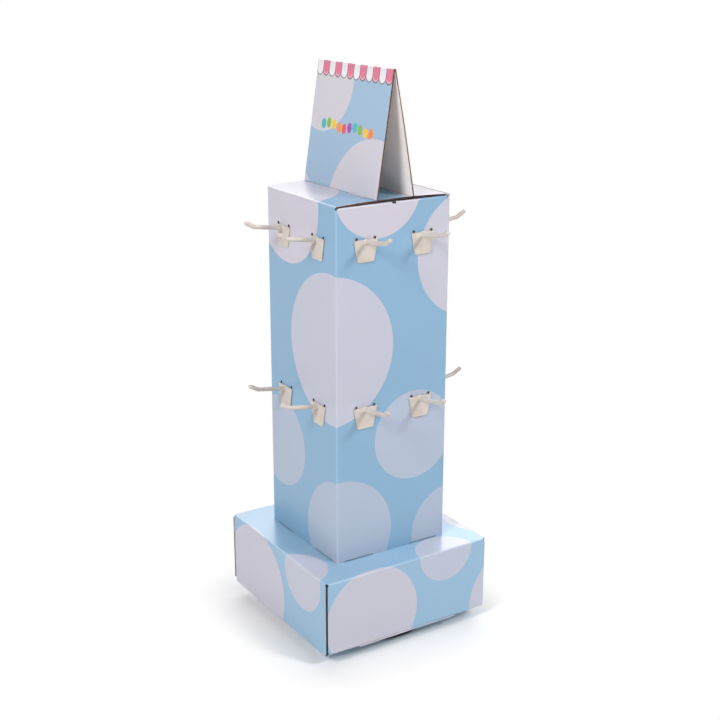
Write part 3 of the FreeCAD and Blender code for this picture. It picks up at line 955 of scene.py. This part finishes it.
def arm_root():
    """The arm's first stretch, as a disc drawn out along the arm and narrowed to it."""
    rise = math.atan2(ARM_RISE, ARM_RUN)
    heading = Vector((0, -math.cos(rise), math.sin(rise)))
    centre = Vector((0, -COLUMN_HALF, ARM_LEVEL)) + heading * ROOT_START
    arm = added("hook_arm", bpy.ops.mesh.primitive_circle_add, vertices=28, radius=ROOT_RADIUS,
                fill_type="NGON", location=centre, rotation=(math.pi / 2 - rise, 0, 0))
    size = ROOT_RADIUS
    walked = ROOT_START
    for out, radius in ROOT_FILLET:
        centre = drawn_out(centre, heading * out * MM)
        scale_about(centre, radius * MM / size)
        size = radius * MM
        walked += out * MM
    return arm, centre, heading, walked


def domed(centre, heading):
    """Close the arm's end with a half ball."""
    reached = 0.0
    size = 1.0
    for degrees in DOME_TURNS:
        angle = math.radians(degrees)
        out = math.sin(angle) * ARM_RADIUS
        centre = drawn_out(centre, heading * (out - reached))
        scale_about(centre, math.cos(angle) / size)
        reached = out
        size = math.cos(angle)


def hook_arm():
    """A round arm that rises from its root, turns up further and ends in a dome."""
    arm, centre, heading, walked = arm_root()
    turn = math.radians(BEND_TURN)
    bend_leg = BEND_RADIUS * math.tan(turn / 2)
    straight = math.hypot(ARM_RUN, ARM_RISE) - bend_leg - walked
    centre = drawn_out(centre, heading * straight)
    upright = Vector((0, heading.z, -heading.y))
    bpy.ops.mesh.spin(steps=7, angle=-turn, center=centre + upright * BEND_RADIUS, axis=(-1, 0, 0))

    up = math.atan2(ARM_RISE, ARM_RUN) + turn
    heading = Vector((0, -math.cos(up), math.sin(up)))
    end_face = next(face for face in bmesh.from_edit_mesh(arm.data).faces if face.select)
    centre = end_face.calc_center_median().copy()
    centre = drawn_out(centre, heading * (TIP_LENGTH - bend_leg - ARM_RADIUS))
    domed(centre, heading)
    weld()
    return finished(arm)


def hook_prong(across):
    """A prong that goes through the wall's slot and up behind the wall."""
    middle_y = -89.35 * MM
    hook_from = -87.6 * MM
    hook_back_from = -87 * MM
    prong = added("hook_prong", bpy.ops.mesh.primitive_cube_add, size=1,
                  location=(across, middle_y, ARM_LEVEL), scale=(PRONG_WIDTH, PRONG_DEPTH, PRONG_HEIGHT))
    choose(prong, "faces", lambda f: f.normal.y > 0.9)
    extrude((0, PRONG_HOOK_DEPTH, 0))
    choose(prong, "faces", lambda f: f.normal.z > 0.9 and middle(f).y > hook_from)
    extrude((0, 0, PRONG_HOOK_HEIGHT))
    choose(prong, "edges", lambda e: max(v.co.y for v in e.verts) > hook_back_from)
    bpy.ops.mesh.bevel(offset=PRONG_ROUNDING, segments=2)
    return finished(prong)


def make_hook(material):
    """The hook that all sixteen are copied from, on the front wall's middle line."""
    hook = united(hook_plate(), [hook_arm(), hook_prong(-PRONG_PLACE), hook_prong(PRONG_PLACE)])
    smooth(hook, 36)
    hook.data.materials.clear()
    hook.data.materials.append(material)
    return hook


def hang_hooks(pattern):
    """Two rows of two hooks on each wall."""
    for turn, side in enumerate(SIDES):
        about = Matrix.Rotation(math.radians(90 * turn), 4, "Z")
        number = 0
        for row in HOOK_ROWS:
            for across in (-HOOK_PITCH / 2, HOOK_PITCH / 2):
                number += 1
                mesh = pattern.data.copy()
                mesh.transform(about @ Matrix.Translation((across, 0, row)))
                piece = bpy.data.objects.new(f"moulded_hook_{side}_{number}", mesh)
                bpy.context.scene.collection.objects.link(piece)
                placed(piece, f"hook_{side}_{number}", "stand")
    bpy.data.objects.remove(pattern)


cream_plastic = moulded(
    "hook_plastic", CREAM, CREAM_LOW, roughness=(0.34, 0.44),
    grain_scale=1300.0, grain_depth=0.012 * MM, ior=1.47)
hang_hooks(make_hook(cream_plastic))


# Turntable

black_plastic = moulded(
    "black_moulded_plastic", FOOT_BLACK, FOOT_BLACK_LOW, roughness=(0.42, 0.58),
    grain_scale=1100.0, grain_depth=0.06 * MM, ior=1.4)
white_glide = moulded(
    "white_glide_plastic", GLIDE_WHITE, GLIDE_WHITE_LOW, roughness=(0.3, 0.4),
    grain_scale=700.0, grain_depth=0.02 * MM, ior=1.43)
rivet_black = moulded(
    "black_rivet_plastic", RIVET_BLACK, RIVET_BLACK_LOW, roughness=(0.4, 0.5),
    grain_scale=1300.0, grain_depth=0.04 * MM, ior=1.48)


def dress_turned(node, body, material):
    """A turned or moulded piece as a smooth copy of its solid."""
    piece = copied_node(node, node + "_moulded")
    piece.data.materials.append(material)
    smooth(piece, 30)
    placed(piece, node, body)


dress_turned("turntable_foot", "foot", black_plastic)
dress_turned("glide_ring", "foot", white_glide)
dress_turned("turntable_plate", "stand", black_plastic)
dress_turned("pivot_pin", "stand", zinc_pin())
dress_turned("plate_rivets", "stand", rivet_black)


# Camera, in degrees and metres

CAMERA_AZIMUTH = 57.354
CAMERA_ELEVATION = 17.803
CAMERA_ROLL = 0.094
CAMERA_DISTANCE = 1.8145
CAMERA_TARGET = Vector((7.27 * MM, 0, 386.16 * MM))
LENS = 64.40
SENSOR = 36


def direction_to(azimuth, elevation):
    """The direction to a place round the object from the front, and above the floor."""
    turn = math.radians(azimuth)
    lift = math.radians(elevation)
    return Vector((math.sin(turn) * math.cos(lift), -math.cos(turn) * math.cos(lift), math.sin(lift)))


def add_camera():
    """The photograph's view: place, direction, slight roll and lens."""
    azimuth = math.radians(CAMERA_AZIMUTH)
    roll = math.radians(CAMERA_ROLL)
    back = direction_to(CAMERA_AZIMUTH, CAMERA_ELEVATION)
    level = Vector((math.cos(azimuth), math.sin(azimuth), 0))
    rise = back.cross(level)
    right = level * math.cos(roll) + rise * math.sin(roll)
    up = rise * math.cos(roll) - level * math.sin(roll)
    data = bpy.data.cameras.new("photo_camera")
    data.lens = LENS
    data.sensor_width = SENSOR
    data.sensor_fit = "HORIZONTAL"
    data.clip_end = 50
    camera = bpy.data.objects.new("photo_camera", data)
    bpy.context.scene.collection.objects.link(camera)
    turned = Matrix((right, up, back)).transposed().to_4x4()
    camera.matrix_world = Matrix.Translation(CAMERA_TARGET + back * CAMERA_DISTANCE) @ turned
    bpy.context.scene.camera = camera


add_camera()


# Floor, background and lights

WHITE = (1, 1, 1, 1)
FLOOR_SIZE = 40
FLOOR_NEAR = 0.15
FLOOR_FAR = 0.215
FLOOR_LIFT = 0.05
SKY_LIGHT = 0.03


def add_floor():
    """A pale floor that keeps the soft shadow and runs out to the white background."""
    deselect()
    bpy.ops.mesh.primitive_plane_add(size=FLOOR_SIZE, location=(0, 0, 0))
    floor = bpy.context.object
    floor.name = "floor"
    finish = Finish("pale_floor", Roughness=0.9, Specular_IOR_Level=0.1)
    patch = finish.noise(scale=2.0, detail=2.0)
    finish.colour(finish.mixed(patch, FLOOR_PALE_LOW, FLOOR_PALE))
    tree = finish.tree
    path = finish.add("LightPath").outputs
    seen = finish.math("MAXIMUM", path["Is Camera Ray"], path["Is Glossy Ray"])
    seen = finish.math("MAXIMUM", seen, path["Is Transmission Ray"])

    # Rounded squares about the box, as its shadow runs
    squared = finish.vector("MULTIPLY", finish.place(), finish.place())
    distance = finish.math("POWER", finish.length(squared), 0.5)
    far = finish.spread(distance, FLOOR_NEAR, FLOOR_FAR, FLOOR_LIFT, 1.0)
    white = finish.add("Emission", {"Color": WHITE, "Strength": 1.0})
    mix = finish.add("MixShader", {0: finish.math("MULTIPLY", seen, far)})
    tree.links.new(finish.shader.outputs[0], mix.inputs[1])
    tree.links.new(white.outputs[0], mix.inputs[2])
    tree.links.new(mix.outputs[0], tree.nodes["Material Output"].inputs["Surface"])
    floor.data.materials.append(finish.material)


def add_world():
    """Soft light all round, and plain white where the camera or a gloss looks past the object."""
    world = bpy.data.worlds.new("studio")
    bpy.context.scene.world = world
    world.use_nodes = True
    tree = world.node_tree
    tree.nodes.clear()
    path = tree.nodes.new("ShaderNodeLightPath")
    seen = path.outputs["Is Camera Ray"]
    for kind in ("Is Glossy Ray", "Is Transmission Ray"):
        either = tree.nodes.new("ShaderNodeMath")
        either.operation = "MAXIMUM"
        tree.links.new(seen, either.inputs[0])
        tree.links.new(path.outputs[kind], either.inputs[1])
        seen = either.outputs[0]
    mix = tree.nodes.new("ShaderNodeMixShader")
    tree.links.new(seen, mix.inputs["Fac"])
    for place, strength in ((1, SKY_LIGHT), (2, 1.0)):
        light = tree.nodes.new("ShaderNodeBackground")
        light.inputs["Color"].default_value = WHITE
        light.inputs["Strength"].default_value = strength
        tree.links.new(light.outputs[0], mix.inputs[place])
    output = tree.nodes.new("ShaderNodeOutputWorld")
    tree.links.new(mix.outputs[0], output.inputs["Surface"])


def add_lamp(name, azimuth, elevation, distance, aim_height, width, height, power):
    """A softbox that looks at a point on the stand's axis."""
    direction = direction_to(azimuth, elevation)
    data = bpy.data.lights.new(name, "AREA")
    data.shape = "RECTANGLE"
    data.size = width
    data.size_y = height
    data.energy = power
    lamp = bpy.data.objects.new(name, data)
    bpy.context.scene.collection.objects.link(lamp)
    lamp.location = Vector((0, 0, aim_height)) + direction * distance
    lamp.rotation_euler = (-direction).to_track_quat("-Z", "Y").to_euler()
    lamp.visible_camera = False


add_floor()
add_world()
add_lamp("right_softbox", azimuth=116, elevation=34, distance=2.6, aim_height=0.45,
         width=0.5, height=0.5, power=33)
add_lamp("front_softbox", azimuth=25, elevation=34, distance=3.0, aim_height=0.45,
         width=0.8, height=0.8, power=62)
add_lamp("top_softbox", azimuth=CAMERA_AZIMUTH, elevation=86, distance=2.6, aim_height=0.5,
         width=1.6, height=1.6, power=12)
add_lamp("backdrop_softbox", azimuth=CAMERA_AZIMUTH + 180, elevation=34, distance=7.0, aim_height=0.1,
         width=8.0, height=2.4, power=310)
bpy.context.scene.view_settings.view_transform = "Standard"
